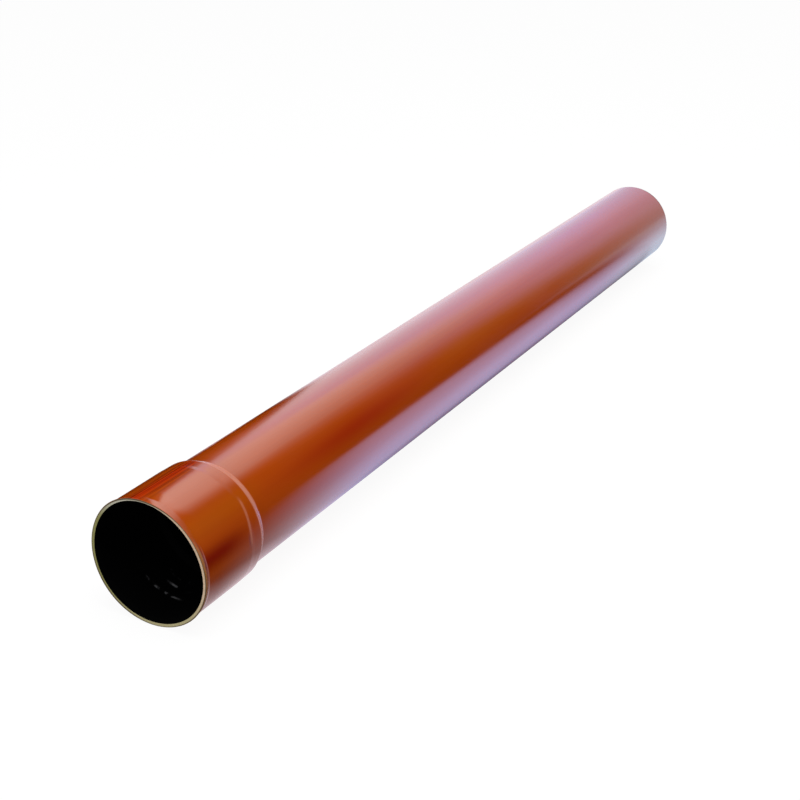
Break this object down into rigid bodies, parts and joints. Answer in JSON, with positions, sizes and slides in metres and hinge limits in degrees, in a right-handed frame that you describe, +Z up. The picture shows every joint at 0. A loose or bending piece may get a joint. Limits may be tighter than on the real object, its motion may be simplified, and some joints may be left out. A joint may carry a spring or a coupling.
{
  "type": "rainwater downpipe",
  "caption": "Round plastic rainwater downpipe, open at both ends, with a push-fit socket formed on one end.",
  "frame": {"origin": "on the floor, halfway along the lying pipe and under its axis", "axes": "+X along the pipe from the socket's mouth to the spigot, +Z up"},
  "size_m": [1.04, 0.1086, 0.1085],
  "materials": {
    "pipe_plastic": "glossy copper-brown outside, black inside, paler matt cut edges"
  },
  "bodies": {
    "root": {"downpipe": "pipe_plastic"}
  },
  "joints": []
}
